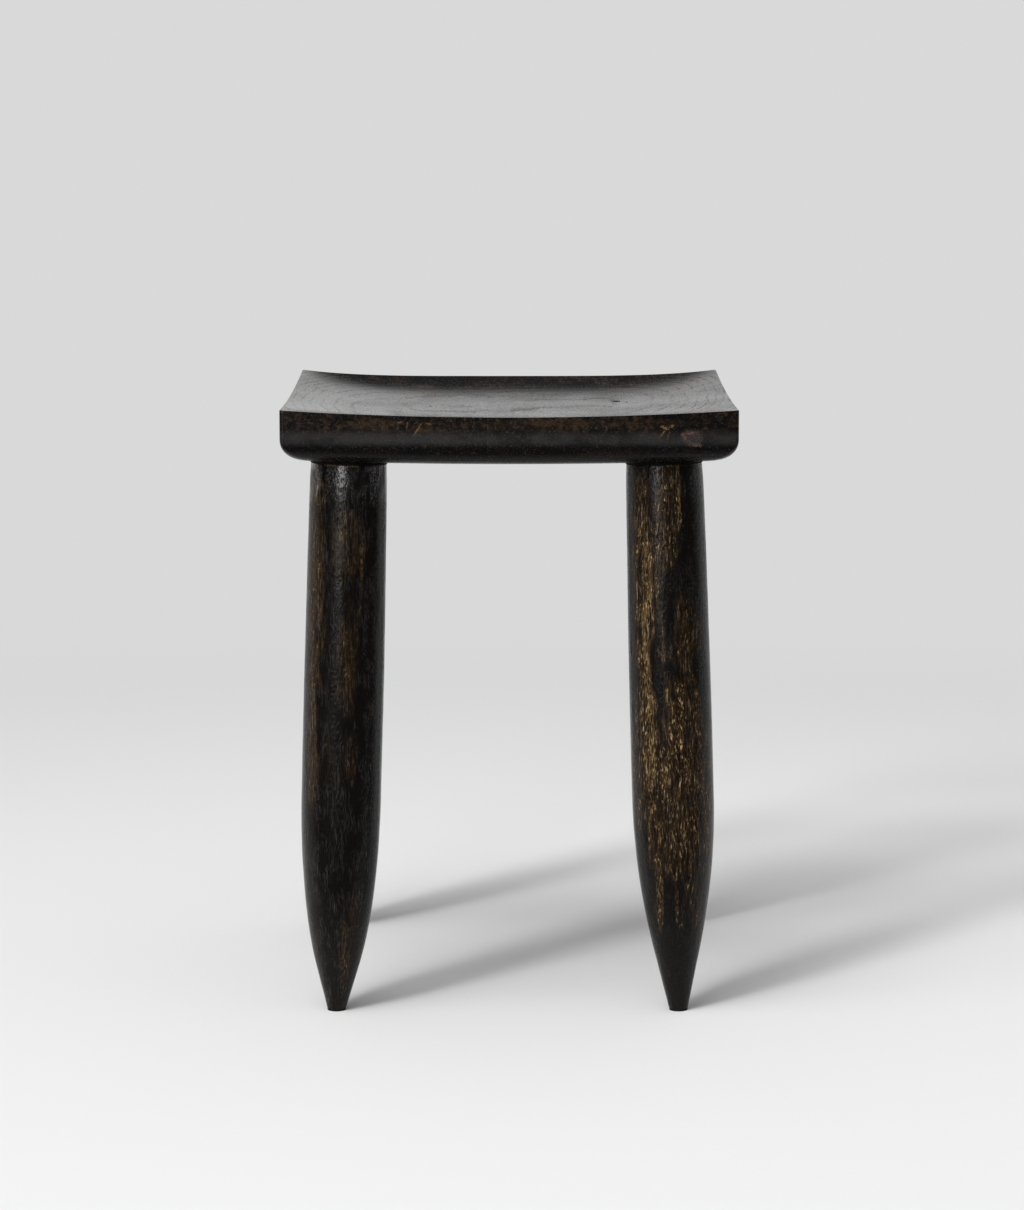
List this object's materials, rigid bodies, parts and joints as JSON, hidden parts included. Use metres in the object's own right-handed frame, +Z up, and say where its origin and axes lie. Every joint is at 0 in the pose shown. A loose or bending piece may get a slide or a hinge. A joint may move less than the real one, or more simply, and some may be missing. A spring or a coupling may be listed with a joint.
{
  "type": "stool",
  "caption": "Low square wooden stool with a hollowed seat of glued boards and leaning bullet-shaped legs that screw on, each on a small glide.",
  "frame": {"origin": "on the floor under the middle of the square seat", "axes": "+Z up, the front of the stool faces -Y, its left side is -X; the seat boards' grain runs along Y"},
  "size_m": [0.34, 0.34, 0.4609],
  "materials": {
    "seat_wood": "ebonised, waxed to a satin gloss, worn through to brown in places",
    "leg_wood": "ebonised, satin gloss, with brown and golden streaks along the grain",
    "washer_rubber": "matt black rubber",
    "bolt_steel": "zinc-plated",
    "insert_brass": "plain",
    "glide_plastic": "matt black"
  },
  "bodies": {
    "root": {"seat_board_left": "seat_wood", "seat_board_mid_left": "seat_wood", "seat_board_mid_right": "seat_wood", "seat_board_right": "seat_wood", "leg_front_left": "leg_wood", "leg_front_right": "leg_wood", "leg_rear_left": "leg_wood", "leg_rear_right": "leg_wood", "leg_washer_front_left": "washer_rubber", "leg_washer_front_right": "washer_rubber", "leg_washer_rear_left": "washer_rubber", "leg_washer_rear_right": "washer_rubber", "hanger_bolt_front_left": "bolt_steel", "hanger_bolt_front_right": "bolt_steel", "hanger_bolt_rear_left": "bolt_steel", "hanger_bolt_rear_right": "bolt_steel", "threaded_insert_front_left": "insert_brass", "threaded_insert_front_right": "insert_brass", "threaded_insert_rear_left": "insert_brass", "threaded_insert_rear_right": "insert_brass", "foot_glide_front_left": "glide_plastic", "foot_glide_front_right": "glide_plastic", "foot_glide_rear_left": "glide_plastic", "foot_glide_rear_right": "glide_plastic"}
  },
  "joints": []
}
